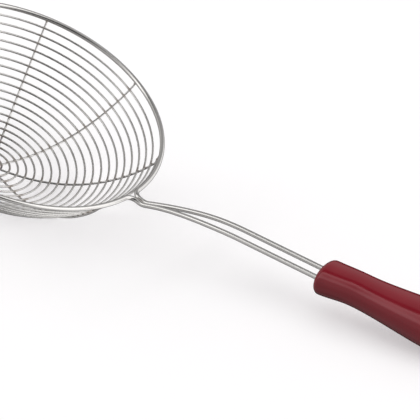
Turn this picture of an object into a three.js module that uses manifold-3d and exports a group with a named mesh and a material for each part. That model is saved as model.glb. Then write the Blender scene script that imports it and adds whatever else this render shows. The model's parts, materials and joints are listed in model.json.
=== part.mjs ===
// Wire frying strainer: a spiral-wound bowl on cross wires, hung from a rim wire whose two ends
// run side by side into a moulded handle. Millimetres, +Z up, +X from the basket to the handle.
import * as THREE from 'three';
import { mergeVertices } from 'three/addons/utils/BufferGeometryUtils.js';
import Module from 'manifold-3d';

const wasm = await Module();
wasm.setup();

// Basket sizes, in the plane of the rim
const RIM_RADIUS = 80; // to the centre of the rim wire
const RIM_WIRE = 2.6;
const SPIRAL_WIRE = 1.1;
const SPOKE_WIRE = 1.1;
const BOWL_DEPTH = 45.6; // from the rim's centre plane to the spiral wire at the middle
const BOWL_BELLY = 2.5; // 2 is round at the bottom, more is flatter
const BOWL_FULLNESS = 0.83; // less is steeper towards the rim
const SPIRAL_TURNS = 20;
const SPIRAL_START_RADIUS = 4.95; // its first weld, on the first spoke
const SPOKE_COUNT = 4; // each runs right across the bowl
const FIRST_SPOKE_ANGLE = 28.5; // degrees from the handle
const STACK_RADIUS = 13; // where the crossing spokes start to bow under each other
const WELD_GAP = 0.12; // between wires that are welded at a touch
const RIM_SEAT_ANGLE = 45; // last turn of the spiral, below and inside the rim wire

// Shank sizes, along the two legs of the rim wire
const NECK_BEND_RADIUS = 5;
const NECK_STRAIGHT = 1;
const LIFT_BEND_RADIUS = 8;
const LIFT_ANGLE = 33; // the shank's rise from the rim plane at the neck
const EASE_LENGTH = 60; // the bow in which that rise eases off
const HANDLE_ANGLE = 15.4; // the rise of the handle from the rim plane
const SHANK_STRAIGHT = 47.5; // from the bow to the handle
const SPREAD_START = 4; // from the neck to where the legs start to part
const SPREAD_LENGTH = 50; // in which they reach their full spacing
const LEG_SPACING = 9.2; // between the legs' centres in the handle
const TANG_LENGTH = 48; // of each leg inside the handle
const LEG_DROP = 0.5; // of the legs below the handle's axis

// Handle sizes, along its own axis
const HANDLE_LENGTH = 120;
const FRONT_WIDTH = 21.9;
const FRONT_THICKNESS = 17.2;
const FRONT_LIFT = -0.9; // of the section's middle from the handle's axis
const WAIST_AT = 21.8; // from the front
const WAIST_WIDTH = 20.4;
const WAIST_THICKNESS = 16;
const WAIST_LIFT = 0.75;
const SWELL_AT = 71; // from the front
const SWELL_WIDTH = 27.1;
const SWELL_THICKNESS = 21.3;
const SWELL_LIFT = 1.1;
const TAIL_WIDTH = 20;
const TAIL_THICKNESS = 14;
const TAIL_LIFT = 0;
const HANDLE_FULLNESS = 2.2; // 2 is an ellipse, more is squarer
const FRONT_ROUND = 3.2;
const TAIL_ROUND = 12;
const BORE_CLEARANCE = 0.25; // around and behind each leg
const HANG_HOLE = 9;
const HANG_HOLE_FROM_TAIL = 13;
const HANG_LAND = 16; // flat ring around the hanging hole
const HANG_LAND_THICKNESS = 11; // between the two flat rings

// Facets
const LOOP_STEPS = 24;
const LOOP_SIDES = 6;
const WIRE_SIDES = 8;
const RIM_STEPS = 72;
const SPOKE_STEPS = 36;
const HANDLE_SIDES = 32;
const BORE_SIDES = 20;
const PROFILE_STEPS = 600;

const STEEL = { color: 0xc9c7c4, roughness: 0.22, metalness: 1 };
const MAROON = { color: 0x6e1a22, roughness: 0.25, metalness: 0 };

const radians = THREE.MathUtils.degToRad;

// A closed tube of round wire along points, flat at both ends
function wireGeometry(points, diameter, sides) {
  const last = points.length - 1;
  const positions = [];
  const normal = new THREE.Vector3(0, 0, 1);
  points.forEach((point, i) => {
    const before = points[Math.max(i - 1, 0)];
    const tangent = points[Math.min(i + 1, last)].clone().sub(before).normalize();
    normal.addScaledVector(tangent, -normal.dot(tangent)).normalize();
    const binormal = tangent.clone().cross(normal);
    for (let k = 0; k < sides; k += 1) {
      const angle = (2 * Math.PI * k) / sides;
      const vertex = point.clone()
        .addScaledVector(normal, (Math.cos(angle) * diameter) / 2)
        .addScaledVector(binormal, (Math.sin(angle) * diameter) / 2);
      positions.push(...vertex.toArray());
    }
  });
  positions.push(...points[0].toArray(), ...points[last].toArray());
  return closedRings(positions, points.length, sides);
}

// Rings of the same count joined into a skin, with a centre point closing each end
function closedRings(positions, rings, sides) {
  const first = rings * sides;
  const end = (rings - 1) * sides;
  const index = [];
  for (let k = 0; k < sides; k += 1) {
    const next = (k + 1) % sides;
    for (let i = 0; i < rings - 1; i += 1) {
      const near = i * sides;
      const far = near + sides;
      index.push(near + k, near + next, far + next);
      index.push(near + k, far + next, far + k);
    }
    index.push(first, next, k);
    index.push(first + 1, end + k, end + next);
  }
  const geometry = new THREE.BufferGeometry();
  geometry.setAttribute('position', new THREE.Float32BufferAttribute(positions, 3));
  geometry.setIndex(index);
  geometry.computeVertexNormals();
  return geometry;
}

function pieceMesh(name, geometry, finish) {
  const mesh = new THREE.Mesh(geometry, new THREE.MeshStandardMaterial(finish));
  mesh.name = name;
  return mesh;
}

// The bowl's profile: the spiral wire's centre, by distance along the wall from the middle
const seatReach = (RIM_WIRE + SPIRAL_WIRE) / 2 + WELD_GAP;
const mouthRadius = RIM_RADIUS - seatReach * Math.cos(radians(RIM_SEAT_ANGLE));
const mouthDrop = seatReach * Math.sin(radians(RIM_SEAT_ANGLE));
const mouthShare = (1 - (mouthDrop / BOWL_DEPTH) ** (1 / BOWL_FULLNESS)) ** (1 / BOWL_BELLY);
const wallRadius = mouthRadius / mouthShare;

function wallDepth(radius) {
  return BOWL_DEPTH * Math.max(1 - (radius / wallRadius) ** BOWL_BELLY, 0) ** BOWL_FULLNESS;
}

// Samples of the profile, spaced closer towards the steep mouth
const profile = [];
for (let i = 0; i <= PROFILE_STEPS; i += 1) {
  const radius = mouthRadius * Math.sin((Math.PI / 2) * (i / PROFILE_STEPS));
  const point = new THREE.Vector2(radius, -wallDepth(radius));
  const along = i === 0 ? 0 : profile[i - 1].along + point.distanceTo(profile[i - 1].point);
  profile.push({ point, along });
}
const wallLength = profile[PROFILE_STEPS].along;

// The profile's point and outward normal at a distance along the wall
function wallAt(along) {
  const found = profile.findIndex((sample) => sample.along >= along);
  const i = THREE.MathUtils.clamp(found < 0 ? PROFILE_STEPS : found, 1, PROFILE_STEPS);
  const [from, to] = [profile[i - 1], profile[i]];
  const share = (along - from.along) / (to.along - from.along);
  const slope = to.point.clone().sub(from.point).normalize();
  return {
    point: from.point.clone().lerp(to.point, share),
    normal: new THREE.Vector2(slope.y, -slope.x),
  };
}

function turned(planar, angle) {
  return new THREE.Vector3(planar.x * Math.cos(angle), planar.x * Math.sin(angle), planar.y);
}

// One unbroken wire from the middle of the bowl to its seat under the rim
function spiralPoints() {
  const start = profile.find((sample) => sample.point.x >= SPIRAL_START_RADIUS).along;
  const steps = SPIRAL_TURNS * LOOP_STEPS;
  const points = [];
  for (let i = 0; i <= steps; i += 1) {
    const angle = radians(FIRST_SPOKE_ANGLE) + (2 * Math.PI * i) / LOOP_STEPS;
    const along = THREE.MathUtils.lerp(start, wallLength, i / steps);
    points.push(turned(wallAt(along).point, angle));
  }
  return points;
}

// The least clear space between turns, measured from each point to the stretches of other turns
function leastGap(points, diameter) {
  const stretch = new THREE.Line3();
  const nearest = new THREE.Vector3();
  let least = Infinity;
  for (let i = 0; i < points.length; i += 1) {
    for (let j = i + LOOP_STEPS / 2; j < points.length - 1; j += 1) {
      stretch.set(points[j], points[j + 1]).closestPointToPoint(points[i], true, nearest);
      least = Math.min(least, nearest.distanceTo(points[i]) - diameter);
    }
  }
  return least;
}

// A wire right across the bowl, outside the spiral, bowed under the spokes before it at the middle
function spokePoints(order) {
  const angle = radians(FIRST_SPOKE_ANGLE + (180 / SPOKE_COUNT) * order);
  const offset = (SPIRAL_WIRE + SPOKE_WIRE) / 2 + WELD_GAP;
  const rise = RIM_WIRE / 2 + WELD_GAP;
  const points = [];
  for (let i = 0; i <= SPOKE_STEPS; i += 1) {
    const across = (2 * i) / SPOKE_STEPS - 1;
    const { point, normal } = wallAt(Math.abs(across) * wallLength);
    const place = point.clone().addScaledVector(normal, offset);
    const near = Math.max(1 - place.x / STACK_RADIUS, 0);
    const bow = order * (SPOKE_WIRE + WELD_GAP) * THREE.MathUtils.smoothstep(near, 0, 1);
    place.y = Math.min(place.y, -rise) - bow;
    points.push(turned(place, across < 0 ? angle + Math.PI : angle));
  }
  return points;
}

// A run in a vertical plane, of straights and arcs that follow on from each other
function planarRun(start, pieces) {
  const run = [{ point: start.clone(), along: 0 }];
  let heading = 0;
  pieces.forEach(({ length, turn, steps }) => {
    const half = radians(turn) / steps / 2;
    const chord = (length / steps) * (half === 0 ? 1 : Math.sin(half) / half);
    for (let i = 0; i < steps; i += 1) {
      heading += half;
      const { point, along } = run[run.length - 1];
      const move = new THREE.Vector2(Math.cos(heading), Math.sin(heading)).multiplyScalar(chord);
      run.push({ point: point.clone().add(move), along: along + length / steps });
      heading += half;
    }
  });
  return run;
}

// The neck: each leg bends out from the rim and lies against the other one
const neckSpacing = RIM_WIRE + WELD_GAP;
const neckCentre = new THREE.Vector2(0, NECK_BEND_RADIUS + neckSpacing / 2);
neckCentre.x = Math.sqrt((RIM_RADIUS + NECK_BEND_RADIUS) ** 2 - neckCentre.y ** 2);
const neckAngle = neckCentre.angle();

// The shank's middle line, from the neck to the front of the handle
const shank = planarRun(new THREE.Vector2(neckCentre.x, 0), [
  { length: NECK_STRAIGHT, turn: 0, steps: 1 },
  { length: LIFT_BEND_RADIUS * radians(LIFT_ANGLE), turn: LIFT_ANGLE, steps: 5 },
  { length: EASE_LENGTH, turn: HANDLE_ANGLE - LIFT_ANGLE, steps: 10 },
  { length: SHANK_STRAIGHT, turn: 0, steps: 6 },
]);
const handleFront = shank[shank.length - 1];
const handleRun = new THREE.Vector2(1, 0).rotateAround(new THREE.Vector2(), radians(HANDLE_ANGLE));

// Half of the rim wire, from the end of one tang to the neck's first point on the rim circle
function legPoints(side) {
  const points = [];
  const tang = handleFront.point.clone().addScaledVector(handleRun, TANG_LENGTH);
  points.push(new THREE.Vector3(tang.x, (side * LEG_SPACING) / 2, tang.y));
  [...shank].reverse().forEach(({ point, along }) => {
    const open = THREE.MathUtils.smoothstep(along, SPREAD_START, SPREAD_START + SPREAD_LENGTH);
    const spacing = THREE.MathUtils.lerp(neckSpacing, LEG_SPACING, open);
    points.push(new THREE.Vector3(point.x, (side * spacing) / 2, point.y));
  });
  const bendSteps = 7;
  for (let i = 1; i < bendSteps; i += 1) {
    const angle = -Math.PI / 2 - (i / bendSteps) * (Math.PI / 2 - neckAngle);
    const x = neckCentre.x + NECK_BEND_RADIUS * Math.cos(angle);
    const y = neckCentre.y + NECK_BEND_RADIUS * Math.sin(angle);
    points.push(new THREE.Vector3(x, side * y, 0));
  }
  return points;
}

// One bent wire: leg, neck, right round the rim, neck and leg
function rimPoints() {
  const points = legPoints(1);
  for (let i = 0; i <= RIM_STEPS; i += 1) {
    const angle = THREE.MathUtils.lerp(neckAngle, 2 * Math.PI - neckAngle, i / RIM_STEPS);
    points.push(turned(new THREE.Vector2(RIM_RADIUS, 0), angle));
  }
  return points.concat(legPoints(-1).reverse());
}

const handleStations = [
  { at: 0, width: FRONT_WIDTH, thickness: FRONT_THICKNESS, lift: FRONT_LIFT },
  { at: WAIST_AT, width: WAIST_WIDTH, thickness: WAIST_THICKNESS, lift: WAIST_LIFT },
  { at: SWELL_AT, width: SWELL_WIDTH, thickness: SWELL_THICKNESS, lift: SWELL_LIFT },
  { at: HANDLE_LENGTH, width: TAIL_WIDTH, thickness: TAIL_THICKNESS, lift: TAIL_LIFT },
];

// The handle's section at a distance from its front, easing from station to station
function handleSection(at) {
  const last = handleStations.length - 1;
  const i = THREE.MathUtils.clamp(handleStations.findIndex((s) => s.at >= at), 1, last);
  const [from, to] = [handleStations[i - 1], handleStations[i]];
  const share = THREE.MathUtils.smoothstep(at, from.at, to.at);
  return {
    width: THREE.MathUtils.lerp(from.width, to.width, share),
    thickness: THREE.MathUtils.lerp(from.thickness, to.thickness, share),
    lift: THREE.MathUtils.lerp(from.lift, to.lift, share),
  };
}

// Places of the handle's sections, with the inset that rounds its two ends
function handleRings() {
  const rings = [];
  const frontSteps = 5;
  const bodySteps = 26;
  const tailSteps = 9;
  for (let i = 0; i < frontSteps; i += 1) {
    const angle = (Math.PI / 2) * (i / frontSteps);
    rings.push({ at: FRONT_ROUND * (1 - Math.cos(angle)), inset: FRONT_ROUND * (1 - Math.sin(angle)) });
  }
  for (let i = 0; i < bodySteps; i += 1) {
    const at = THREE.MathUtils.lerp(FRONT_ROUND, HANDLE_LENGTH - TAIL_ROUND, i / bodySteps);
    rings.push({ at, inset: 0 });
  }
  for (let i = 0; i < tailSteps; i += 1) {
    const angle = (Math.PI / 2) * (i / tailSteps);
    const at = HANDLE_LENGTH - TAIL_ROUND * (1 - Math.sin(angle));
    rings.push({ at, shrink: Math.cos(angle), inset: 0 });
  }
  return rings;
}

// A point of the handle's section from its middle, rounder or squarer by the fullness
function sectionPoint(width, thickness, angle) {
  const bend = (value) => Math.sign(value) * Math.abs(value) ** (2 / HANDLE_FULLNESS);
  return [(bend(Math.cos(angle)) * width) / 2, (bend(Math.sin(angle)) * thickness) / 2];
}

function handleSkin() {
  const positions = [];
  const rings = handleRings();
  rings.forEach(({ at, inset, shrink = 1 }) => {
    const { width, thickness, lift } = handleSection(at);
    for (let k = 0; k < HANDLE_SIDES; k += 1) {
      const angle = (2 * Math.PI * k) / HANDLE_SIDES;
      const [y, z] = sectionPoint(width * shrink - 2 * inset, thickness * shrink - 2 * inset, angle);
      positions.push(at, y, z + lift);
    }
  });
  positions.push(0, 0, FRONT_LIFT, HANDLE_LENGTH, 0, TAIL_LIFT);
  return closedRings(positions, rings.length, HANDLE_SIDES);
}

function toSolid(geometry) {
  geometry.deleteAttribute('normal');
  geometry.deleteAttribute('uv');
  const merged = mergeVertices(geometry);
  return new wasm.Manifold(new wasm.Mesh({
    numProp: 3,
    vertProperties: new Float32Array(merged.attributes.position.array),
    triVerts: new Uint32Array(merged.index.array),
  }));
}

function fromSolid(solid) {
  const mesh = solid.getMesh();
  const geometry = new THREE.BufferGeometry();
  geometry.setAttribute('position', new THREE.BufferAttribute(mesh.vertProperties, 3));
  geometry.setIndex(new THREE.BufferAttribute(mesh.triVerts, 1));
  geometry.computeVertexNormals();
  return geometry;
}

// A round cutter along X or Z, centred on its place
function roundCutter(diameter, length, axis, place) {
  const geometry = new THREE.CylinderGeometry(diameter / 2, diameter / 2, length, BORE_SIDES);
  if (axis === 'x') geometry.rotateZ(Math.PI / 2);
  if (axis === 'z') geometry.rotateX(Math.PI / 2);
  geometry.translate(...place);
  return toSolid(geometry);
}

// The moulded handle, bored for the two tangs and for hanging up
function handleGeometry() {
  const boreLength = 2 * (TANG_LENGTH + BORE_CLEARANCE);
  const holeAt = HANDLE_LENGTH - HANG_HOLE_FROM_TAIL;
  const landCut = HANDLE_LENGTH;
  const landHeight = (HANG_LAND_THICKNESS + landCut) / 2;
  let solid = toSolid(handleSkin());
  [1, -1].forEach((side) => {
    const bore = [0, (side * LEG_SPACING) / 2, -LEG_DROP];
    solid = solid.subtract(roundCutter(RIM_WIRE + 2 * BORE_CLEARANCE, boreLength, 'x', bore));
    solid = solid.subtract(roundCutter(HANG_LAND, landCut, 'z', [holeAt, 0, side * landHeight]));
  });
  solid = solid.subtract(roundCutter(HANG_HOLE, landCut, 'z', [holeAt, 0, 0]));
  return fromSolid(solid);
}

// The lowest height of some pieces once the strainer is tipped about Y
function lowest(meshes, tip) {
  let least = Infinity;
  meshes.forEach((mesh) => {
    const { array } = mesh.geometry.attributes.position;
    const place = new THREE.Vector3();
    mesh.updateMatrix();
    for (let i = 0; i < array.length; i += 3) {
      place.fromArray(array, i).applyMatrix4(mesh.matrix);
      least = Math.min(least, place.z * Math.cos(tip) - place.x * Math.sin(tip));
    }
  });
  return least;
}

// The tip at which the basket and the tail of the handle both lie on the table
function restTip(basket, handle) {
  let [low, high] = [0, Math.PI / 4];
  for (let i = 0; i < 40; i += 1) {
    const middle = (low + high) / 2;
    if (lowest([handle], middle) > lowest(basket, middle)) low = middle;
    else high = middle;
  }
  return low;
}

const spiral = spiralPoints();
console.log(`spiral wire, least gap to itself: ${leastGap(spiral, SPIRAL_WIRE).toFixed(2)} mm`);

const basket = [
  pieceMesh('rim_wire', wireGeometry(rimPoints(), RIM_WIRE, WIRE_SIDES), STEEL),
  pieceMesh('spiral_wire', wireGeometry(spiral, SPIRAL_WIRE, LOOP_SIDES), STEEL),
];
for (let order = 0; order < SPOKE_COUNT; order += 1) {
  const geometry = wireGeometry(spokePoints(order), SPOKE_WIRE, WIRE_SIDES);
  basket.push(pieceMesh(`spoke_wire_${order + 1}`, geometry, STEEL));
}

const handle = pieceMesh('handle', handleGeometry(), MAROON);
const lift = new THREE.Vector2(-handleRun.y, handleRun.x).multiplyScalar(LEG_DROP);
handle.position.set(handleFront.point.x + lift.x, 0, handleFront.point.y + lift.y);
handle.rotation.y = -radians(HANDLE_ANGLE);

// Tipped as it lies on a table, then set on the middle of its footprint
const tipped = new THREE.Group();
tipped.add(...basket, handle);
tipped.rotation.y = restTip(basket, handle);
const strainer = new THREE.Group();
strainer.add(tipped);
strainer.updateMatrixWorld(true);
const bounds = new THREE.Box3().setFromObject(strainer, true);
const middle = bounds.getCenter(new THREE.Vector3());
tipped.position.set(-middle.x, -middle.y, -bounds.min.z);

export default strainer;
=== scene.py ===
"""Frying strainer: a spiral-wound wire bowl on a rim wire, with a moulded handle, over the CAD frame."""

import bisect
import json
import math
from functools import partial

import bmesh
import bpy
from bpy.props import FloatProperty, FloatVectorProperty, IntProperty, PointerProperty
from mathutils import Matrix, Vector


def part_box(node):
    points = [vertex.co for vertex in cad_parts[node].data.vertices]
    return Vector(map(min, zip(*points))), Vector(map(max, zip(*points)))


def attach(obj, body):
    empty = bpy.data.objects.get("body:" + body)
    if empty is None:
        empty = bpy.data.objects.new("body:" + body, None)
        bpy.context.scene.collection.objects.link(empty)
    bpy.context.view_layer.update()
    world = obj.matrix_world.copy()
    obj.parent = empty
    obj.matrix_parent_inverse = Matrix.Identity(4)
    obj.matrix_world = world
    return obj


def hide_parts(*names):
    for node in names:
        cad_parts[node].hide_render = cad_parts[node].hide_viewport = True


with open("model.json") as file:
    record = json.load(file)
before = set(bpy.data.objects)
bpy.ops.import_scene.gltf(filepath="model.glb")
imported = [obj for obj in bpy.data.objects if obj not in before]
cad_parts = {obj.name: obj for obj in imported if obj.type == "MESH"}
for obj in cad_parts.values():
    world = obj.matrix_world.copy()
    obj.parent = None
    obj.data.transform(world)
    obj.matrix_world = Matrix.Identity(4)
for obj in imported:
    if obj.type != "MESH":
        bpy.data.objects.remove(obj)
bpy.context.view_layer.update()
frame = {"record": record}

bl_info = {
    "name": "Frying Strainer",
    "version": (1, 0, 0),
    "blender": (4, 5, 0),
    "location": "View3D > Sidebar > Strainer",
    "description": "Models a wire frying strainer over its CAD frame and sets a studio round it",
    "category": "Add Mesh",
}

RIM_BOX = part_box("rim_wire")
UP = Vector((0.0, 0.0, 1.0))
BLACK = (0.0, 0.0, 0.0)
WHITE = (1.0, 1.0, 1.0)
MERGE_DISTANCE = 1e-7
# How far a cutter stands out of the handle
CUTTER_REACH = 0.02
# The handle's rise from the rim's plane, in degrees
HANDLE_RISE = 15.4
# The land's face runs along the handle, so its axis tells how far the rim is tipped
LAND = next(mount for mount in frame["record"]["mounts"] if mount["name"] == "hang_land")
REST_TIP = HANDLE_RISE + math.degrees(math.atan2(LAND["axis"][0], LAND["axis"][2]))
# Light of the room as metal and plastic mirror it: (share of the way, level), where the way
# runs from the front horizon over the top to the back
PANELS = (
    (0.00, 0.36),
    (0.13, 0.36),
    (0.19, 0.22),
    (0.25, 0.60),
    (0.31, 1.50),
    (0.36, 1.62),
    (0.52, 1.62),
    (0.54, 0.00),
    (0.605, 0.00),
    (0.63, 0.34),
    (0.72, 0.39),
    (0.83, 0.46),
    (0.93, 0.40),
    (1.00, 0.04),
)
# Fades of that light by direction, where x is to the right, z is up and over runs as in PANELS
HORIZON = (-0.12, 0.0)
WALL_EDGE = (0.35, 0.65)
WINDOW_EDGE = (0.50, 0.75)
# The dark round the camera: middle and sides along x, foot and top along over
DARK_MIDDLE = -0.10
DARK_SIDE = (0.28, 0.62)
DARK_FOOT = (-0.45, -0.25)
DARK_TOP = (0.40, 0.52)
DARK_SHARE = 0.9
# The dark straight behind, by distance from the line of sight
BACK_EDGE = (0.45, 0.80)
BACK_SHARE = 0.95
# Each lamp: its name, its two sides, and its place to the right, away and up
LAMPS = (
    ("back_lamp", (3.0, 2.0), (0.0, 2.2, 1.9)),
    ("left_lamp", (2.0, 1.2), (-2.5, 1.45, 1.05)),
    ("side_lamp", (2.0, 1.2), (2.5, -1.45, 1.05)),
)
# The painted pool of light on the paper under the bowl and the edge of the painted reflection before it,
# in metres to the right and away
PAINTED_LIGHT_MIDDLE = -0.082
PAINTED_LIGHT_SIDE = (0.02, 0.055)
PAINTED_LIGHT_NEAR = (0.038, 0.052)
PAINTED_LIGHT_FAR = (0.075, 0.115)
PAINTED_CARD_EDGE = (-0.05, 0.03)
# Share of the steel's colour in its clouds, and reach of the tint and the wear in metres
DIMMED = 0.9
TINT_REACH = (0.0007, 0.0032)
WORN_REACH = (0.0055, 0.0105)
# What each pattern adds to the roughness of steel, of welds and of plastic
CLOUD_ROUGH = 0.10
STREAK_ROUGH = 0.05
TINT_ROUGH = 0.25
GRAIN_ROUGH = 0.22
HAZE_ROUGH = 0.06
FINE_ROUGH = 0.04
WORN_ROUGH = 0.25
# Height of the plastic's fine grain beside its ripple
FINE_RELIEF = 0.02


def described(kind, name, description, default, **settings):
    """A property with its name, its description and its value at the start."""
    return kind(name=name, description=description, default=default, **settings)


# Kinds of property: lengths in metres, plain numbers, lamp powers and colours in linear light
metres = partial(described, FloatProperty, min=0.0, unit="LENGTH", precision=5)
offset = partial(described, FloatProperty, unit="LENGTH", precision=5)
triple = partial(described, FloatVectorProperty, subtype="XYZ", unit="LENGTH", precision=5)
number = partial(described, FloatProperty, precision=4)
whole = partial(described, IntProperty)
watts = partial(described, FloatProperty, unit="POWER")
colour = partial(described, FloatVectorProperty, min=0.0, max=1.0, subtype="COLOR")


def angle(name, description, degrees):
    """An angle, written in degrees."""
    return described(FloatProperty, name, description, math.radians(degrees), subtype="ANGLE")


class BasketSizes(bpy.types.PropertyGroup):
    """The rim, the spiral bowl and the spokes under it, in the plane of the rim."""

    rim_radius: metres("Rim radius", "From the middle of the basket to the rim wire", 0.080)
    rim_wire: metres("Rim wire", "Diameter of the rim wire", 0.0026)
    spiral_wire: metres("Spiral wire", "Diameter of the spiral wire", 0.0011)
    spoke_wire: metres("Spoke wire", "Diameter of the spokes", 0.0011)
    bowl_depth: metres("Bowl depth", "From the rim to the spiral at the middle", 0.0456)
    bowl_belly: number("Bowl belly", "2 is round at the bottom, more is flatter", 2.5)
    bowl_fullness: number("Bowl fullness", "Less is steeper towards the rim", 0.83)
    spiral_turns: whole("Spiral turns", "Turns of the spiral", 20)
    spiral_start: metres("Spiral start", "Radius of the spiral's first weld", 0.00495)
    spoke_count: whole("Spokes", "Wires right across the bowl", 4)
    first_spoke: angle("First spoke", "From the handle to the first spoke", 28.5)
    stack_radius: metres("Stack radius", "Where the spokes bow under each other", 0.013)
    weld_gap: metres("Weld gap", "Between wires that a weld joins", 0.00012)
    rim_seat: angle("Rim seat", "The last turn, below and inside the rim wire", 45)
    rest_tip: angle("Rest tip", "Tip of the rim as it lies", REST_TIP)


class ShankSizes(bpy.types.PropertyGroup):
    """The two legs of the rim wire, from the neck into the handle."""

    neck_bend: metres("Neck bend", "Radius of the bends out of the rim", 0.005)
    neck_straight: metres("Neck straight", "From those bends to the rise", 0.001)
    lift_bend: metres("Lift bend", "Radius of the bend into the rise", 0.008)
    lift: angle("Lift", "Rise of the shank at the neck", 33)
    ease: metres("Ease", "Length of the bow in which the rise eases off", 0.060)
    straight: metres("Straight", "From the bow to the handle", 0.0475)
    spread_start: metres("Spread start", "From the neck to where the legs part", 0.004)
    spread: metres("Spread", "Length in which they reach their spacing", 0.050)
    leg_spacing: metres("Leg spacing", "Between the legs in the handle", 0.0092)
    tang: metres("Tang", "Length of each leg inside the handle", 0.048)


class HandleSizes(bpy.types.PropertyGroup):
    """The moulded handle, along its own axis."""

    rise: angle("Rise", "From the rim's plane", HANDLE_RISE)
    length: metres("Length", "From front to tail", 0.120)
    front_width: metres("Front width", "At the front", 0.0219)
    front_thickness: metres("Front thickness", "At the front", 0.0172)
    front_lift: offset("Front lift", "Of the front's middle from the axis", -0.0009)
    waist_at: metres("Waist", "From the front to the waist", 0.0218)
    waist_width: metres("Waist width", "At the waist", 0.0204)
    waist_thickness: metres("Waist thickness", "At the waist", 0.016)
    waist_lift: offset("Waist lift", "Of the waist's middle from the axis", 0.00075)
    swell_at: metres("Swell", "From the front to the swell", 0.071)
    swell_width: metres("Swell width", "At the swell", 0.0271)
    swell_thickness: metres("Swell thickness", "At the swell", 0.0213)
    swell_lift: offset("Swell lift", "Of the swell's middle from the axis", 0.0011)
    tail_width: metres("Tail width", "At the tail, before its rounding", 0.020)
    tail_thickness: metres("Tail thickness", "At the tail, before its rounding", 0.014)
    fullness: number("Fullness", "2 is an ellipse, more is squarer", 2.2)
    front_round: metres("Front round", "Rounding of the front edge", 0.0032)
    tail_round: metres("Tail round", "Length of the rounded tail", 0.012)
    leg_drop: metres("Leg drop", "Of the legs below the axis", 0.0005)
    bore_clearance: metres("Bore clearance", "Around each leg", 0.00025)
    bore_flare: metres("Bore flare", "Widening of a bore at its mouth", 0.0006)
    flare_depth: metres("Flare depth", "From the front to the end of that widening", 0.0009)
    bore_round: metres("Bore round", "Rounding at the bottom of a bore", 0.0004)
    hang_hole: metres("Hanging hole", "Diameter of the hanging hole", 0.009)
    hole_from_tail: metres("Hole from tail", "From the tail to the hole", 0.013)
    hang_land: metres("Land", "Diameter of the flat round the hole", 0.016)
    land_thickness: metres("Land thickness", "Between the two flats", 0.011)
    land_round: metres("Land round", "Rounding at the edge of a flat", 0.0006)
    hole_round: metres("Hole round", "Rounding at the hole's two mouths", 0.0008)


class WeldSizes(bpy.types.PropertyGroup):
    """The weld nuggets, as half of their lengths along, across and up."""

    crossing_width: number("Crossing width", "Along and across, in spiral wires", 0.56)
    crossing_height: number("Crossing height", "Up, in spiral wires", 0.34)
    spoke_end: triple("Spoke end", "Where a spoke meets the rim", (0.0011, 0.0008, 0.0008))
    spiral_end: triple("Spiral end", "Where the spiral meets the rim", (0.0022, 0.0007, 0.0007))
    middle: triple("Middle", "Between two spokes", (0.0008, 0.0008, 0.0005))
    neck: triple("Neck", "Between the legs", (0.0030, 0.0008, 0.0006))
    neck_along: metres("Neck along", "From the neck's bends to the middle of its beads", 0.0012)
    neck_height: metres("Neck height", "Of a bead above or below the legs' middle", 0.0005)


class FinishSizes(bpy.types.PropertyGroup):
    """The colours and surfaces of the steel, the welds and the plastic."""

    steel: colour("Steel", "Bright drawn wire", (0.73, 0.712, 0.695))
    straw: colour("Straw", "Heat tint beside a weld", (0.26, 0.20, 0.16))
    rim_rough: number("Rim roughness", "Least roughness of the rim wire", 0.10)
    wire_rough: number("Wire roughness", "Least roughness of the thin wires", 0.20)
    weld_rough: number("Weld roughness", "Least roughness of a weld", 0.30)
    maroon: colour("Maroon", "The moulded plastic", (0.2441, 0.0122, 0.0222))
    dark_maroon: colour("Dark maroon", "Its darker clouding", (0.1899, 0.0090, 0.0171))
    rubbed: colour("Rubbed", "Plastic dulled by the hook", (0.235, 0.045, 0.050))
    pearl: number("Pearl", "Share of metal in the plastic's shine", 0.10)
    gloss_rough: number("Gloss roughness", "Least roughness of the plastic", 0.10)


class StageSizes(bpy.types.PropertyGroup):
    """The camera, the floor, the lamps and the light of the room."""

    azimuth: angle("Azimuth", "0 looks along +Y and 90 along -X", 32.338)
    elevation: angle("Elevation", "Of the camera above the horizon", 27.551)
    roll: angle("Roll", "Of the picture's right side above the horizon", 4.037)
    distance: metres("Distance", "From the camera to its aim", 1.26756)
    aim: triple("Aim", "What the camera centres", (0.00183, 0.00540, 0.02688))
    lens: number("Lens", "Focal length in millimetres", 214.3)
    sensor: number("Sensor", "Width in millimetres", 36.0)
    floor_reach: metres("Floor reach", "From the middle of the floor to its sides", 4.0)
    paper: colour("Paper", "The pale floor", (0.56, 0.56, 0.56))
    bounce: colour("Bounce", "The floor as dull things see it", (0.30, 0.30, 0.30))
    glow: colour("Glow", "Light that the camera sees from the floor", (0.434, 0.420, 0.427))
    # Painted light: the floor glows brighter in a pool under the bowl, light that no lamp casts
    painted_bowl_light: colour("Bowl glow", "The same under the bright bowl", (0.5425, 0.525, 0.534))
    # Painted reflection: a glowing patch of floor before the bowl that only metal mirrors, lit by no
    # lamp
    painted_card: colour("Card", "Lit floor before the bowl, as metal shows it", (0.55, 0.55, 0.55))
    back_power: watts("Back lamp", "Its power", 10.3)
    left_power: watts("Left lamp", "Its power", 52.6)
    side_power: watts("Side lamp", "Its power", 74.0)
    fill: number("Fill", "Even light of the room on all that is dull", 0.56)
    ground: number("Ground", "Light from below, as metal shows it", 0.27)
    wall: number("Wall", "Light of the left wall, as metal shows it", 0.62)
    apron: number("Apron", "The same below the horizon", 0.48)
    side_wall: number("Side wall", "Light of the right wall at the back", 1.1)
    window: number("Window", "Light of the right wall at the front", 1.4)


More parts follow.
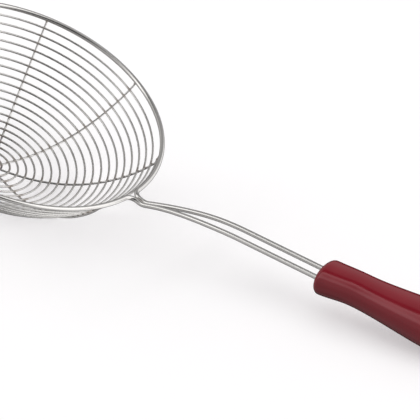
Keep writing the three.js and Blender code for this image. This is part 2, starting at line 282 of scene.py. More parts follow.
class Signal:
    """A socket that can stand in sums: each operator adds a Math node after it."""

    def __init__(self, sheet, socket):
        self.sheet = sheet
        self.socket = socket

    def __add__(self, other):
        return self.sheet.math("ADD", self, other)

    def __sub__(self, other):
        return self.sheet.math("SUBTRACT", self, other)

    def __rsub__(self, other):
        return self.sheet.math("SUBTRACT", other, self)

    def __mul__(self, other):
        return self.sheet.math("MULTIPLY", self, other)

    def __truediv__(self, other):
        return self.sheet.math("DIVIDE", self, other)

    def __abs__(self):
        return self.sheet.math("ABSOLUTE", self)

    __radd__ = __add__
    __rmul__ = __mul__


class PlacedNode:
    """A node on a sheet, whose outputs come as signals."""

    def __init__(self, sheet, node):
        self.sheet = sheet
        self.node = node

    def out(self, name):
        return Signal(self.sheet, self.node.outputs[name])


class NodeSheet:
    """An empty node tree that nodes are written on."""

    # Colour sockets of a Mix node, whose names stand for other kinds of value too
    MIX_FIRST = 6
    MIX_SECOND = 7
    MIX_RESULT = 2

    def __init__(self, owner):
        owner.use_nodes = True
        self.tree = owner.node_tree
        self.tree.nodes.clear()

    def node(self, kind, inputs=None, **settings):
        """Adds a node: first its settings, then the values or links of its sockets."""
        made = self.tree.nodes.new(kind)
        for name, value in settings.items():
            if name == "stops":
                self.set_stops(made.color_ramp, value)
            else:
                setattr(made, name, value)
        for name, value in (inputs or {}).items():
            if isinstance(value, Signal):
                self.tree.links.new(value.socket, made.inputs[name])
            else:
                made.inputs[name].default_value = value
        return PlacedNode(self, made)

    def math(self, operation, *terms):
        """A Math node on numbers and signals."""
        return self.node("ShaderNodeMath", dict(enumerate(terms)), operation=operation).out(0)

    @staticmethod
    def set_stops(ramp, stops):
        """Gives a ramp its (position, colour) stops."""
        while len(ramp.elements) < len(stops):
            ramp.elements.new(1.0)
        for element, (position, shade) in zip(ramp.elements, stops):
            element.position = position
            element.color = (*shade, 1.0)

    def object_place(self, centre=(0, 0, 0), turn=(0, 0, 0)):
        """Object coordinates, read from a centre and along turned axes."""
        place = self.node("ShaderNodeTexCoord").out("Object")
        inputs = {"Vector": place, "Location": centre, "Rotation": turn}
        return self.node("ShaderNodeMapping", inputs, vector_type="TEXTURE").out("Vector")

    def split(self, place):
        """The three parts of a place or a direction."""
        parts = self.node("ShaderNodeSeparateXYZ", {"Vector": place})
        return [parts.out(axis) for axis in "XYZ"]

    def noise(self, place, scale, detail=2.0, roughness=0.5):
        """Soft clouds from 0 to 1, finer at a larger scale."""
        inputs = {"Vector": place, "Scale": scale, "Detail": detail, "Roughness": roughness}
        return self.node("ShaderNodeTexNoise", inputs).out("Fac")

    def fade(self, value, start, end):
        """1 below start and 0 past end, smoothly between."""
        inputs = {"Value": value, "From Min": start, "From Max": end, "To Min": 1.0, "To Max": 0.0}
        made = self.node("ShaderNodeMapRange", inputs, interpolation_type="SMOOTHSTEP")
        return made.out("Result")

    def rise(self, value, start, end):
        """0 below start and 1 past end, smoothly between."""
        return 1.0 - self.fade(value, start, end)

    def distance(self, first, second):
        """How far one place or direction is from another."""
        ends = {0: first, 1: second}
        return self.node("ShaderNodeVectorMath", ends, operation="DISTANCE").out("Value")

    def blend(self, share, first, second):
        """A colour from first to second by a share of 0 to 1."""
        colours = {self.MIX_FIRST: first, self.MIX_SECOND: second}
        for index, value in colours.items():
            if not isinstance(value, Signal):
                colours[index] = (*value, 1.0)
        made = self.node("ShaderNodeMix", {0: share, **colours}, data_type="RGBA")
        return made.out(self.MIX_RESULT)

    def bump(self, height, strength, distance):
        """A normal that leans with a height."""
        inputs = {"Height": height, "Strength": strength, "Distance": distance}
        return self.node("ShaderNodeBump", inputs).out("Normal")

    def emission(self, shade):
        """A shader that gives off a colour."""
        return self.node("ShaderNodeEmission", {"Color": shade}).out(0)

    def surface(self, inputs):
        """Ends the sheet with a Principled shader."""
        self.finish(self.node("ShaderNodeBsdfPrincipled", inputs).out("BSDF"))

    def finish(self, shader, output="ShaderNodeOutputMaterial"):
        """Ends the sheet with its output."""
        self.node(output, {"Surface": shader})


def material(name):
    """A fresh material and the sheet that its nodes go on."""
    made = bpy.data.materials.new(name)
    return made, NodeSheet(made)


def rim_centre(basket):
    """The rim's middle in the row frame, from the reach of the CAD rim wire's facets."""
    reach = basket.rim_wire / 2 * math.cos(basket.rest_tip)
    across = RIM_BOX[0][0] + basket.rim_radius * math.cos(basket.rest_tip) + reach
    height = RIM_BOX[1][2] - basket.rim_radius * math.sin(basket.rest_tip) - reach
    return Vector((across, 0.0, height))


def rest_place(basket):
    """From the rim's plane to the row frame, as the strainer lies on a table."""
    return Matrix.Translation(rim_centre(basket)) @ Matrix.Rotation(basket.rest_tip, 4, "Y")


def smoothstep(value, start, end):
    """0 below start and 1 past end, smoothly between."""
    share = min(max((value - start) / (end - start), 0.0), 1.0)
    return share * share * (3 - 2 * share)


def turned(radius, height, bearing):
    """A point at a radius and a height, turned about Z."""
    return Vector((radius * math.cos(bearing), radius * math.sin(bearing), height))


class BowlWall:
    """The bowl's profile at the spiral wire's centre, by distance along the wall."""

    STEPS = 900

    def __init__(self, basket):
        reach = (basket.rim_wire + basket.spiral_wire) / 2 + basket.weld_gap
        self.depth = basket.bowl_depth
        self.belly = basket.bowl_belly
        self.fullness = basket.bowl_fullness
        mouth = basket.rim_radius - reach * math.cos(basket.rim_seat)
        drop = reach * math.sin(basket.rim_seat)
        share = (1 - (drop / self.depth) ** (1 / self.fullness)) ** (1 / self.belly)
        self.radius = mouth / share
        self.points = []
        self.along = []
        for step in range(self.STEPS + 1):
            radius = mouth * math.sin(math.pi / 2 * step / self.STEPS)
            point = Vector((radius, -self.depth_at(radius)))
            reached = self.along[-1] + (point - self.points[-1]).length if step else 0.0
            self.points.append(point)
            self.along.append(reached)
        self.length = self.along[-1]

    def depth_at(self, radius):
        """How far the wall lies below the rim."""
        return self.depth * max(1 - (radius / self.radius) ** self.belly, 0.0) ** self.fullness

    def along_at(self, radius):
        """The distance along the wall at a radius."""
        found = next(i for i, point in enumerate(self.points) if point.x >= radius)
        return self.along[found]

    def at(self, along):
        """The profile's point and outward normal at a distance along the wall."""
        index = min(max(bisect.bisect_left(self.along, along), 1), self.STEPS)
        first, second = self.points[index - 1], self.points[index]
        span = self.along[index] - self.along[index - 1]
        point = first.lerp(second, (along - self.along[index - 1]) / span)
        slope = (second - first).normalized()
        return point, Vector((slope.y, -slope.x))


def spiral_place(basket, wall, turns):
    """The spiral's profile point, normal and bearing after some turns."""
    start = wall.along_at(basket.spiral_start)
    along = start + (wall.length - start) * turns / basket.spiral_turns
    point, normal = wall.at(along)
    return point, normal, basket.first_spoke + 2 * math.pi * turns


def spiral_path(basket, steps=96):
    """The spiral's centre line, from its first weld out to the rim."""
    wall = BowlWall(basket)
    path = []
    for step in range(basket.spiral_turns * steps + 1):
        point, _, bearing = spiral_place(basket, wall, step / steps)
        path.append(turned(point.x, point.y, bearing))
    return path


def spoke_bearing(basket, order):
    """The bearing of a spoke from the handle."""
    return basket.first_spoke + math.pi / basket.spoke_count * order


def spoke_drop(basket):
    """From the spiral's centre line to that of the spokes under it."""
    return (basket.spiral_wire + basket.spoke_wire) / 2 + basket.weld_gap


def spoke_path(basket, order, steps=160):
    """A wire right across the bowl, bowed at the middle under the spokes before it."""
    wall = BowlWall(basket)
    under_rim = -(basket.rim_wire / 2 + basket.weld_gap)
    bearing = spoke_bearing(basket, order)
    path = []
    for step in range(steps + 1):
        across = 2 * step / steps - 1
        point, normal = wall.at(abs(across) * wall.length)
        place = point + normal * spoke_drop(basket)
        near = smoothstep(1 - place.x / basket.stack_radius, 0.0, 1.0)
        height = min(place.y, under_rim) - order * (basket.spoke_wire + basket.weld_gap) * near
        path.append(turned(place.x, height, bearing + (math.pi if across < 0 else 0.0)))
    return path


def shank_run(neck_x, shank, rise):
    """The shank's middle line: (distance, x, height), from the neck to the handle."""
    # Each piece: its length, how far it turns and its steps
    pieces = (
        (shank.neck_straight, 0.0, 2),
        (shank.lift_bend * shank.lift, shank.lift, 14),
        (shank.ease, rise - shank.lift, 30),
        (shank.straight, 0.0, 16),
    )
    run = [(0.0, neck_x, 0.0)]
    heading = 0.0
    for reach, bend, steps in pieces:
        half = bend / steps / 2
        step_length = reach / steps
        chord = step_length * (math.sin(half) / half if half else 1.0)
        for _ in range(steps):
            along, x, z = run[-1]
            heading += half
            x += chord * math.cos(heading)
            z += chord * math.sin(heading)
            heading += half
            run.append((along + step_length, x, z))
    return run


def neck_shape(basket, shank):
    """The spacing of the legs at the neck, and the centre and bearing of one bend."""
    spacing = basket.rim_wire + basket.weld_gap
    side = shank.neck_bend + spacing / 2
    out = math.sqrt((basket.rim_radius + shank.neck_bend) ** 2 - side**2)
    return spacing, Vector((out, side)), math.atan2(side, out)


def handle_front(basket, shank, rise):
    """Where the shank enters the handle."""
    _, centre, _ = neck_shape(basket, shank)
    _, x, z = shank_run(centre.x, shank, rise)[-1]
    return Vector((x, 0.0, z))


def leg_path(basket, shank, rise, side, steps=18):
    """One leg, from the end of its tang to the bend into the rim."""
    spacing, centre, bearing = neck_shape(basket, shank)
    run = shank_run(centre.x, shank, rise)
    front = handle_front(basket, shank, rise)
    axis = Vector((math.cos(rise), 0.0, math.sin(rise)))
    path = [front + axis * shank.tang + Vector((0.0, side * shank.leg_spacing / 2, 0.0))]
    for along, x, z in reversed(run):
        part = smoothstep(along, shank.spread_start, shank.spread_start + shank.spread)
        apart = spacing + (shank.leg_spacing - spacing) * part
        path.append(Vector((x, side * apart / 2, z)))
    for step in range(1, steps):
        sweep = -math.pi / 2 - step / steps * (math.pi / 2 - bearing)
        x = centre.x + shank.neck_bend * math.cos(sweep)
        y = centre.y + shank.neck_bend * math.sin(sweep)
        path.append(Vector((x, side * y, 0.0)))
    return path


def rim_path(basket, shank, rise, steps=288):
    """One bent wire: leg, neck, right round the rim, neck and leg."""
    _, _, bearing = neck_shape(basket, shank)
    path = leg_path(basket, shank, rise, 1)
    for step in range(steps + 1):
        at = bearing + (2 * math.pi - 2 * bearing) * step / steps
        path.append(turned(basket.rim_radius, 0.0, at))
    return path + leg_path(basket, shank, rise, -1)[::-1]


def finish_mesh(name, shape, sharp=math.radians(40)):
    """A bmesh made into a smooth mesh with its doubles merged and its faces outwards."""
    bmesh.ops.remove_doubles(shape, verts=shape.verts, dist=MERGE_DISTANCE)
    bmesh.ops.recalc_face_normals(shape, faces=shape.faces)
    for face in shape.faces:
        face.smooth = True
    mesh = bpy.data.meshes.new(name)
    shape.to_mesh(mesh)
    shape.free()
    mesh.set_sharp_from_angle(angle=sharp)
    return mesh


def add_object(name, data):
    """Puts data in the scene as an object."""
    made = bpy.data.objects.new(name, data)
    bpy.context.scene.collection.objects.link(made)
    return made


def evaluated_mesh(made):
    """The mesh of an object with its curve bevel or modifiers applied, and the object removed."""
    bpy.context.view_layer.update()
    shown = made.evaluated_get(bpy.context.evaluated_depsgraph_get())
    mesh = bpy.data.meshes.new_from_object(shown)
    bpy.data.objects.remove(made)
    return mesh


def wire_mesh(name, path, diameter, place, roundness):
    """Round wire bent along a path."""
    curve = bpy.data.curves.new(name, "CURVE")
    curve.dimensions = "3D"
    curve.bevel_depth = diameter / 2
    curve.bevel_resolution = roundness
    curve.use_fill_caps = True
    spline = curve.splines.new("POLY")
    spline.points.add(len(path) - 1)
    for point, spot in zip(spline.points, path):
        point.co = (*(place @ spot), 1.0)
    shape = bmesh.new()
    shape.from_mesh(evaluated_mesh(add_object(name, curve)))
    return finish_mesh(name, shape)


def add_piece(name, mesh, surface, slot, *nodes):
    """Puts a finished piece in the scene, on its body and in place of its CAD nodes."""
    piece = add_object(name, mesh)
    mesh.materials.clear()
    mesh.materials.append(surface)
    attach(piece, "root")
    if nodes:
        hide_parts(*nodes)


def steel_wire(name, basket, finish, rough, welded=False):
    """Bright stainless wire, clouded and finely streaked, with a heat tint beside its welds."""
    made, sheet = material(name)
    turn = (0.0, basket.rest_tip, 0.0)
    place = sheet.object_place(rim_centre(basket), turn)
    cloud = sheet.noise(place, scale=45.0, detail=3.0)
    streak = sheet.noise(place, scale=900.0, roughness=0.7)
    rough = rough + cloud * CLOUD_ROUGH + streak * STREAK_ROUGH
    dim = tuple(DIMMED * part for part in finish.steel)
    base = sheet.blend(cloud, dim, finish.steel)
    if welded:
        x, y, _ = sheet.split(place)
        radius = sheet.math("SQRT", x * x + y * y)
        bearing = sheet.math("ARCTAN2", y, x) - basket.first_spoke
        beat = sheet.math("SINE", bearing * basket.spoke_count)
        away = abs(beat) * radius / basket.spoke_count
        tint = sheet.fade(away, *TINT_REACH) * sheet.noise(place, scale=260.0)
        base = sheet.blend(tint, base, finish.straw)
        rough = rough + tint * TINT_ROUGH
    normal = sheet.bump(streak, strength=0.12, distance=0.00004)
    sheet.surface({"Base Color": base, "Metallic": 1.0, "Roughness": rough, "Normal": normal})
    return made


def weld_metal(finish):
    """Dull, slightly browned metal squeezed out at the spot welds."""
    made, sheet = material("weld_metal")
    grain = sheet.noise(sheet.object_place(), scale=1400.0, detail=3.0, roughness=0.6)
    base = sheet.blend(grain, finish.straw, finish.steel)
    rough = finish.weld_rough + grain * GRAIN_ROUGH
    normal = sheet.bump(grain, strength=0.35, distance=0.00008)
    sheet.surface({"Base Color": base, "Metallic": 1.0, "Roughness": rough, "Normal": normal})
    return made


def maroon_plastic(finish, hole):
    """Gloss plastic with a slight pearl, clouded, rippled, and rubbed dull round the hanging hole."""
    made, sheet = material("maroon_plastic")
    place = sheet.object_place()
    cloud = sheet.noise(place, scale=70.0, detail=3.0, roughness=0.55)
    fine = sheet.noise(place, scale=1600.0, roughness=0.6)
    ripple = sheet.noise(place, scale=150.0, detail=1.0)
    worn = sheet.fade(sheet.distance(place, tuple(hole)), *WORN_REACH) * fine
    base = sheet.blend(cloud, finish.dark_maroon, finish.maroon)
    rough = finish.gloss_rough + cloud * HAZE_ROUGH + fine * FINE_ROUGH
    relief = ripple + fine * FINE_RELIEF
    sheet.surface({
        "Base Color": sheet.blend(worn, base, finish.rubbed),
        "Metallic": finish.pearl,
        "Roughness": rough + worn * WORN_ROUGH,
        "IOR": 1.5,
        "Normal": sheet.bump(relief, strength=0.10, distance=0.0003),
    })
    return made


def nugget(shape, place, along, up, size):
    """A squeezed drop of weld metal: its size is (along, across, up)."""
    side = up.cross(along).normalized()
    along = side.cross(up).normalized()
    axes = Matrix((along, side, up.normalized())).transposed().to_4x4()
    matrix = Matrix.Translation(place) @ axes @ Matrix.Diagonal((*size, 1.0))
    bmesh.ops.create_uvsphere(shape, u_segments=8, v_segments=6, radius=1.0, matrix=matrix)


def crossing_welds(shape, basket, welds):
    """A spot weld where each turn of the spiral lies on a spoke."""
    wall = BowlWall(basket)
    rays = 2 * basket.spoke_count
    wide = basket.spiral_wire * welds.crossing_width
    size = (wide, wide, basket.spiral_wire * welds.crossing_height)
    for count in range(basket.spiral_turns * rays + 1):
        point, normal, bearing = spiral_place(basket, wall, count / rays)
        contact = point + normal * (basket.spiral_wire + basket.weld_gap) / 2
        out = turned(normal.x, normal.y, bearing)
        tangent = turned(1.0, 0.0, bearing + math.pi / 2)
        nugget(shape, turned(contact.x, contact.y, bearing), tangent, out, size)


def rim_weld(shape, basket, tip, along, size):
    """A weld on the rim wire, where the tip of a thinner wire meets it."""
    rim = turned(basket.rim_radius, 0.0, math.atan2(tip.y, tip.x))
    out = (tip - rim).normalized()
    nugget(shape, rim + out * basket.rim_wire / 2, along, out, size)


def end_welds(shape, basket, welds):
    """A weld where each end of a spoke meets the rim, and one at the spiral's last turn."""
    for order in range(basket.spoke_count):
        path = spoke_path(basket, order)
        for tip, before in ((path[0], path[1]), (path[-1], path[-2])):
            rim_weld(shape, basket, tip, tip - before, welds.spoke_end)
    last = spiral_path(basket)[-1]
    along = turned(1.0, 0.0, math.atan2(last.y, last.x) + math.pi / 2)
    rim_weld(shape, basket, last, along, welds.spiral_end)


def middle_welds(shape, basket, welds):
    """A weld between each spoke and the next, where they cross in the middle."""
    layer = basket.spoke_wire + basket.weld_gap
    for order in range(basket.spoke_count - 1):
        height = -basket.bowl_depth - spoke_drop(basket) - layer * (order + 0.5)
        along = turned(1.0, 0.0, spoke_bearing(basket, order))
        nugget(shape, UP * height, along, UP, welds.middle)


def neck_welds(shape, basket, shank, welds):
    """A bead above and below, in the groove between the two legs at the neck."""
    _, centre, _ = neck_shape(basket, shank)
    for side in (1, -1):
        place = Vector((centre.x + welds.neck_along, 0.0, side * welds.neck_height))
        nugget(shape, place, Vector((1.0, 0.0, 0.0)), UP, welds.neck)


def handle_section(handle, at):
    """The handle's half width, half thickness and lift at a distance from its front."""
    stations = (
        (0.0, handle.front_width, handle.front_thickness, handle.front_lift),
        (handle.waist_at, handle.waist_width, handle.waist_thickness, handle.waist_lift),
        (handle.swell_at, handle.swell_width, handle.swell_thickness, handle.swell_lift),
        (handle.length, handle.tail_width, handle.tail_thickness, 0.0),
    )
    for first, second in zip(stations, stations[1:]):
        if at <= second[0]:
            break
    share = smoothstep(at, first[0], second[0])
    width, thickness, lift = (a + (b - a) * share for a, b in zip(first[1:], second[1:]))
    return width / 2, thickness / 2, lift


def quarter_round(steps):
    """How far a round of radius 1 is from its wall and from its end, step by step off the wall."""
    sweeps = [math.pi / 2 * step / steps for step in range(steps + 1)]
    return [(1 - math.cos(sweep), 1 - math.sin(sweep)) for sweep in sweeps]


def handle_rings(handle, front_steps=10, body_steps=52, tail_steps=18):
    """(distance, half width, half thickness, lift) of the sections, rounded at both ends."""
    rings = []
    for wall, end in quarter_round(front_steps)[:-1]:
        at = handle.front_round * wall
        inset = handle.front_round * end
        width, thickness, lift = handle_section(handle, at)
        rings.append((at, width - inset, thickness - inset, lift))
    body_end = handle.length - handle.tail_round
    for step in range(body_steps):
        at = handle.front_round + (body_end - handle.front_round) * step / body_steps
        rings.append((at, *handle_section(handle, at)))
    for wall, end in quarter_round(tail_steps)[:-1]:
        at = handle.length - handle.tail_round * end
        width, thickness, lift = handle_section(handle, at)
        rings.append((at, width * (1 - wall), thickness * (1 - wall), lift))
    return rings


def set_ring(ring, handle, at, width, thickness, lift):
    """Places a ring of vertices on the handle's rounded section."""
    power = 2 / handle.fullness
    for count, vertex in enumerate(ring):
        sweep = 2 * math.pi * count / len(ring)
        across, up = math.cos(sweep), math.sin(sweep)
        y = math.copysign(abs(across) ** power, across) * width
        z = math.copysign(abs(up) ** power, up) * thickness
        vertex.co = (at, y, z + lift)


def ring_edges(shape, ring):
    """The edges from each vertex of a ring to the next."""
    return [shape.edges.get((ring[i - 1], ring[i])) for i in range(len(ring))]


def linked(vertex, ring):
    """The vertices of a ring that an edge joins to this one."""
    members = set(ring)
    others = [edge.other_vert(vertex) for edge in vertex.link_edges]
    return [other for other in others if other in members]


def handle_skin(handle, sides=72):
    """The handle's outside, drawn out of a circle ring by ring."""
    shape = bmesh.new()
    first, *others = handle_rings(handle)
    circle = bmesh.ops.create_circle(shape, segments=sides, radius=handle.front_width / 2)
    ring = circle["verts"]
    set_ring(ring, handle, *first)
    bmesh.ops.contextual_create(shape, geom=ring_edges(shape, ring))
    for section in others:
        drawn = bmesh.ops.extrude_edge_only(shape, edges=ring_edges(shape, ring))["geom"]
        fresh = [part for part in drawn if isinstance(part, bmesh.types.BMVert)]
        order = {vertex: ring.index(match) for vertex in fresh for match in linked(vertex, ring)}
        ring = sorted(fresh, key=order.get)
        set_ring(ring, handle, *section)
    tip = bmesh.ops.contextual_create(shape, geom=ring_edges(shape, ring))["faces"]
    bmesh.ops.poke(shape, faces=tip)
    return shape


def round_cutter(name, profile, place):
    """A solid turned about its own Z from a profile of (radius, height), as a cutter."""
    shape = bmesh.new()
    corners = [shape.verts.new((radius, 0.0, height)) for radius, height in profile]
    edges = [shape.edges.new(ends) for ends in zip(corners, corners[1:])]
    bmesh.ops.spin(
        shape, geom=corners + edges, cent=(0, 0, 0), axis=(0, 0, 1), dvec=(0, 0, 0),
        angle=2 * math.pi, steps=64, use_merge=True,
    )
    bmesh.ops.transform(shape, matrix=place, verts=shape.verts)
    return add_object(name, finish_mesh(name, shape))


def rounded_end(radius, height, fillet, steps=6):
    """Profile corners from the wall of a cutter to its flat end, over a small round."""
    return [(radius - fillet * wall, height - fillet * end) for wall, end in quarter_round(steps)]


def flared_hole(radius, half, flare, steps=6):
    """Profile of a hole whose two mouths flare out over a small round."""
    upper = [(radius + flare * wall, half - flare * end) for wall, end in quarter_round(steps)]
    upper.append((radius + flare, half + CUTTER_REACH))
    lower = [(r, -z) for r, z in reversed(upper)]
    return [(0.0, lower[0][1]), *lower, *upper, (0.0, upper[-1][1])]


def bore_profile(radius, deep, handle):
    """Profile of a blind bore with a widened mouth and a rounded bottom."""
    wide = radius + handle.bore_flare
    mouth = [(0.0, -CUTTER_REACH), (wide, -CUTTER_REACH), (wide, 0.0), (radius, handle.flare_depth)]
    return mouth + rounded_end(radius, deep, handle.bore_round) + [(0.0, deep)]


def land_profile(handle):
    """Profile of what is cut away down to a flat land."""
    wide = handle.hang_land / 2
    outside = [(0.0, -CUTTER_REACH), (wide, -CUTTER_REACH)]
    return outside + rounded_end(wide, 0.0, handle.land_round) + [(0.0, 0.0)]


def handle_cutters(handle, basket, shank):
    """What is taken out of the handle: two bores, the hanging hole and its two flats."""
    cutters = []
    bore = basket.rim_wire / 2 + handle.bore_clearance
    deep = shank.tang + handle.bore_clearance
    hole_at = handle.length - handle.hole_from_tail
    half = handle.land_thickness / 2
    for side in (1, -1):
        place = Matrix.Translation((0.0, side * shank.leg_spacing / 2, -handle.leg_drop))
        into = place @ Matrix.Rotation(math.pi / 2, 4, "Y")
        cutters.append(round_cutter("bore_cutter", bore_profile(bore, deep, handle), into))
        flip = Matrix.Rotation(0.0 if side < 0 else math.pi, 4, "X")
        land = Matrix.Translation((hole_at, 0.0, side * half)) @ flip
        cutters.append(round_cutter("land_cutter", land_profile(handle), land))
    through = Matrix.Translation((hole_at, 0.0, 0.0))
    profile = flared_hole(handle.hang_hole / 2, half, handle.hole_round)
    cutters.append(round_cutter("hole_cutter", profile, through))
    return cutters


def handle_mesh(handle, basket, shank):
    """The moulded handle in its own frame, cut for the legs and for hanging up."""
    body = add_object("handle_body", finish_mesh("handle_body", handle_skin(handle)))
    cutters = handle_cutters(handle, basket, shank)
    for cutter in cutters:
        cut = body.modifiers.new(cutter.name, "BOOLEAN")
        cut.operation = "DIFFERENCE"
        cut.solver = "EXACT"
        cut.object = cutter
    mesh = evaluated_mesh(body)
    for cutter in cutters:
        bpy.data.objects.remove(cutter)
    return mesh


def handle_place(basket, shank, handle):
    """From the handle's own frame to the row frame."""
    lift = Vector((-math.sin(handle.rise), 0.0, math.cos(handle.rise))) * handle.leg_drop
    front = handle_front(basket, shank, handle.rise) + lift
    turn = Matrix.Rotation(-handle.rise, 4, "Y")
    return rest_place(basket) @ Matrix.Translation(front) @ turn


class STRAINER_OT_rim(bpy.types.Operator):
    """Bends the rim wire with its two legs"""

    bl_idname = "strainer.rim"
    bl_label = "Rim wire"

    def execute(self, context):
        basket = context.scene.strainer_basket
        rise = context.scene.strainer_handle.rise
        path = rim_path(basket, context.scene.strainer_shank, rise)
        mesh = wire_mesh("rim", path, basket.rim_wire, rest_place(basket), roundness=8)
        finish = context.scene.strainer_finish
        steel = steel_wire("rim_steel", basket, finish, finish.rim_rough)
        add_piece("rim", mesh, steel, "wire", "rim_wire")
        return {"FINISHED"}


class STRAINER_OT_spiral(bpy.types.Operator):
    """Winds the spiral wire of the bowl"""

    bl_idname = "strainer.spiral"
    bl_label = "Spiral wire"

    def execute(self, context):
        basket = context.scene.strainer_basket
        path = spiral_path(basket)
        mesh = wire_mesh("spiral", path, basket.spiral_wire, rest_place(basket), roundness=4)
        finish = context.scene.strainer_finish
        steel = steel_wire("spiral_steel", basket, finish, finish.wire_rough, welded=True)
        add_piece("spiral", mesh, steel, "wire", "spiral_wire")
        return {"FINISHED"}


class STRAINER_OT_spokes(bpy.types.Operator):
    """Bends the spokes across the bowl"""

    bl_idname = "strainer.spokes"
    bl_label = "Spokes"

    def execute(self, context):
        basket = context.scene.strainer_basket
        finish = context.scene.strainer_finish
        steel = steel_wire("spoke_steel", basket, finish, finish.wire_rough)
        for order in range(basket.spoke_count):
            path = spoke_path(basket, order)
            name = f"spoke_{order + 1}"
            mesh = wire_mesh(name, path, basket.spoke_wire, rest_place(basket), roundness=4)
            add_piece(name, mesh, steel, "wire", f"spoke_wire_{order + 1}")
        return {"FINISHED"}


class STRAINER_OT_welds(bpy.types.Operator):
    """Adds the spot welds between the wires"""

    bl_idname = "strainer.welds"
    bl_label = "Welds"

    def execute(self, context):
        basket = context.scene.strainer_basket
        welds = context.scene.strainer_welds
        shape = bmesh.new()
        crossing_welds(shape, basket, welds)
        end_welds(shape, basket, welds)
        middle_welds(shape, basket, welds)
        neck_welds(shape, basket, context.scene.strainer_shank, welds)
        bmesh.ops.transform(shape, matrix=rest_place(basket), verts=shape.verts)
        metal = weld_metal(context.scene.strainer_finish)
        add_piece("welds", finish_mesh("welds", shape), metal, "wire")
        return {"FINISHED"}


class STRAINER_OT_handle(bpy.types.Operator):
    """Moulds the handle with its bores and hanging hole"""

    bl_idname = "strainer.handle"
    bl_label = "Handle"

    def execute(self, context):
        basket = context.scene.strainer_basket
        shank = context.scene.strainer_shank
        handle = context.scene.strainer_handle
        place = handle_place(basket, shank, handle)
        hole = place @ Vector((handle.length - handle.hole_from_tail, 0.0, 0.0))
        shape = bmesh.new()
        shape.from_mesh(handle_mesh(handle, basket, shank))
        bmesh.ops.transform(shape, matrix=place, verts=shape.verts)
        mesh = finish_mesh("grip", shape, sharp=math.radians(32))
        plastic = maroon_plastic(context.scene.strainer_finish, hole)
        add_piece("grip", mesh, plastic, "handle", "handle")
        return {"FINISHED"}


def paper_floor(stage):
    """Paper that glows to the camera, most under the bowl where the extra glow is a painted pool of
    light, and that metal sees as a painted reflection of a lit floor.
    """
    made, sheet = material("paper_floor")
    rays = sheet.node("ShaderNodeLightPath")
    thrown = sheet.blend(rays.out("Is Diffuse Ray"), stage.paper, stage.bounce)
    lit = sheet.node("ShaderNodeBsdfDiffuse", {"Color": thrown}).out("BSDF")
    x, y, _ = sheet.split(sheet.object_place(turn=(0, 0, stage.azimuth)))
    # Painted light: a brighter pool of camera-only glow under the bowl, standing in for light that the
    # wires throw on the paper
    painted_light_share = sheet.fade(abs(x - PAINTED_LIGHT_MIDDLE), *PAINTED_LIGHT_SIDE)
    painted_light_share = painted_light_share * sheet.rise(y, *PAINTED_LIGHT_NEAR) * sheet.fade(y, *PAINTED_LIGHT_FAR)
    glow_with_painted_light = sheet.blend(painted_light_share, stage.glow, stage.painted_bowl_light)
    glow = sheet.emission(sheet.blend(rays.out("Is Camera Ray"), BLACK, glow_with_painted_light))
    paper = sheet.node("ShaderNodeAddShader", {0: lit, 1: glow}).out(0)
    # Painted reflection: metal mirrors a glowing patch before the bowl in place of the lit paper, and
    # sees the room through the rest
    near = sheet.fade(y, *PAINTED_CARD_EDGE) * sheet.fade(x, *PAINTED_CARD_EDGE)
    painted_card = sheet.emission((*stage.painted_card, 1.0))
    clear = sheet.node("ShaderNodeBsdfTransparent").out(0)
    mirrored = sheet.node("ShaderNodeMixShader", {0: near, 1: clear, 2: painted_card}).out(0)
    both = {0: rays.out("Is Glossy Ray"), 1: paper, 2: mirrored}
    sheet.finish(sheet.node("ShaderNodeMixShader", both).out(0))
    return made


def mirrored_light(sheet, stage, ahead, sight):
    """The panels, ground and walls that metal mirrors, dark round the camera and straight behind."""
    x, y, z = sheet.split(ahead)
    over = sheet.math("ARCTAN2", z, 0.0 - y) / math.pi
    stops = [(at, (level,) * 3) for at, level in PANELS]
    level = sheet.node("ShaderNodeValToRGB", {"Fac": over}, stops=stops).out("Color")
    below = sheet.fade(z, *HORIZON)
    level = level * (1.0 - below) + below * stage.ground
    height = sheet.rise(over, *DARK_FOOT) * sheet.fade(over, *DARK_TOP)
    camera = sheet.fade(abs(x - DARK_MIDDLE), *DARK_SIDE) * height
    level = level * (1.0 - camera * DARK_SHARE)
    wall = stage.wall - below * (stage.wall - stage.apron)
    left = sheet.rise(0.0 - x, *WALL_EDGE) * wall
    front = sheet.fade(abs(over), *WINDOW_EDGE)
    window = stage.side_wall + front * (stage.window - stage.side_wall)
    right = sheet.rise(x, *WALL_EDGE) * window
    level = sheet.math("MAXIMUM", level, sheet.math("MAXIMUM", left, right))
    behind = sheet.fade(sheet.distance(ahead, sight), *BACK_EDGE)
    return level * (1.0 - behind * BACK_SHARE)


def room_light(world, stage):
    """White to the camera, the lit room to all that mirrors, and an even fill to the rest."""
    sheet = NodeSheet(world)
    rays = sheet.node("ShaderNodeLightPath")
    mirrors = sheet.math("MAXIMUM", rays.out("Is Glossy Ray"), rays.out("Is Transmission Ray"))
    toward = sheet.node("ShaderNodeTexCoord").out("Generated")
    turn = {"Vector": toward, "Rotation": (0.0, 0.0, -stage.azimuth)}
    ahead = sheet.node("ShaderNodeMapping", turn).out("Vector")
    sight = (0.0, math.cos(stage.elevation), -math.sin(stage.elevation))
    plain = sheet.blend(rays.out("Is Camera Ray"), (stage.fill,) * 3, WHITE)
    shade = sheet.blend(mirrors, plain, mirrored_light(sheet, stage, ahead, sight))
    back = sheet.node("ShaderNodeBackground", {"Color": shade})
    sheet.finish(back.out(0), "ShaderNodeOutputWorld")


def view_axes(stage):
    """Directions from the camera: away over the floor, along its sight, and level to the right."""
    away = Vector((-math.sin(stage.azimuth), math.cos(stage.azimuth), 0.0))
    look = away * math.cos(stage.elevation) - UP * math.sin(stage.elevation)
    return away, look, look.cross(UP).normalized()


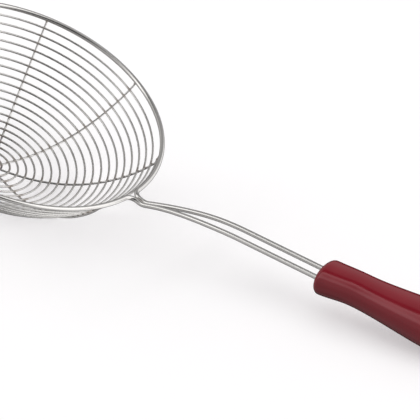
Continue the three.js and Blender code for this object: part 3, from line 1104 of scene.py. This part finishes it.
def add_floor(stage):
    """A wide sheet of paper under the strainer."""
    shape = bmesh.new()
    bmesh.ops.create_grid(shape, x_segments=2, y_segments=2, size=stage.floor_reach)
    mesh = finish_mesh("floor", shape)
    mesh.materials.append(paper_floor(stage))
    floor = add_object("floor", mesh)


def add_camera(stage):
    """The camera, rolled about its sight."""
    _, look, level = view_axes(stage)
    upright = level.cross(look)
    right = level * math.cos(stage.roll) + upright * math.sin(stage.roll)
    up = upright * math.cos(stage.roll) - level * math.sin(stage.roll)
    lens = bpy.data.cameras.new("camera")
    lens.sensor_width = stage.sensor
    lens.lens = stage.lens
    camera = add_object("camera", lens)
    turn = Matrix((right, up, -look)).transposed().to_4x4()
    camera.matrix_world = Matrix.Translation(Vector(stage.aim) - look * stage.distance) @ turn
    bpy.context.scene.camera = camera


def add_lamp(name, size, power, place):
    """A soft rectangular lamp that faces the middle of the floor."""
    lamp = bpy.data.lights.new(name, "AREA")
    lamp.shape = "RECTANGLE"
    lamp.size, lamp.size_y = size
    lamp.energy = power
    made = add_object(name, lamp)
    made.location = place
    made.visible_glossy = False
    made.rotation_euler = (-place).to_track_quat("-Z", "Y").to_euler()


class STRAINER_OT_stage(bpy.types.Operator):
    """Sets the floor, the lamps and the camera"""

    bl_idname = "strainer.stage"
    bl_label = "Stage"

    def execute(self, context):
        scene = context.scene
        stage = scene.strainer_stage
        add_floor(stage)
        scene.world = bpy.data.worlds.new("room")
        room_light(scene.world, stage)
        add_camera(stage)
        away, _, level = view_axes(stage)
        powers = (stage.back_power, stage.left_power, stage.side_power)
        for power, (name, size, (right, ahead, up)) in zip(powers, LAMPS):
            add_lamp(name, size, power, level * right + away * ahead + UP * up)
        scene.view_settings.view_transform = "Standard"
        return {"FINISHED"}


class STRAINER_PT_pieces(bpy.types.Panel):
    """The strainer's pieces and stage"""

    bl_idname = "STRAINER_PT_pieces"
    bl_label = "Frying Strainer"
    bl_space_type = "VIEW_3D"
    bl_region_type = "UI"
    bl_category = "Strainer"

    def draw(self, context):
        for step in STEPS:
            self.layout.operator(step.bl_idname)


GROUPS = {
    "strainer_basket": BasketSizes,
    "strainer_shank": ShankSizes,
    "strainer_handle": HandleSizes,
    "strainer_welds": WeldSizes,
    "strainer_finish": FinishSizes,
    "strainer_stage": StageSizes,
}
STEPS = (
    STRAINER_OT_rim,
    STRAINER_OT_spiral,
    STRAINER_OT_spokes,
    STRAINER_OT_welds,
    STRAINER_OT_handle,
    STRAINER_OT_stage,
)
CLASSES = (*GROUPS.values(), *STEPS, STRAINER_PT_pieces)


def register():
    for kind in CLASSES:
        bpy.utils.register_class(kind)
    for name, group in GROUPS.items():
        setattr(bpy.types.Scene, name, PointerProperty(type=group))


def unregister():
    for name in GROUPS:
        delattr(bpy.types.Scene, name)
    for kind in reversed(CLASSES):
        bpy.utils.unregister_class(kind)


def main():
    register()
    bpy.ops.strainer.rim()
    bpy.ops.strainer.spiral()
    bpy.ops.strainer.spokes()
    bpy.ops.strainer.welds()
    bpy.ops.strainer.handle()
    bpy.ops.strainer.stage()


if __name__ == "__main__":
    main()
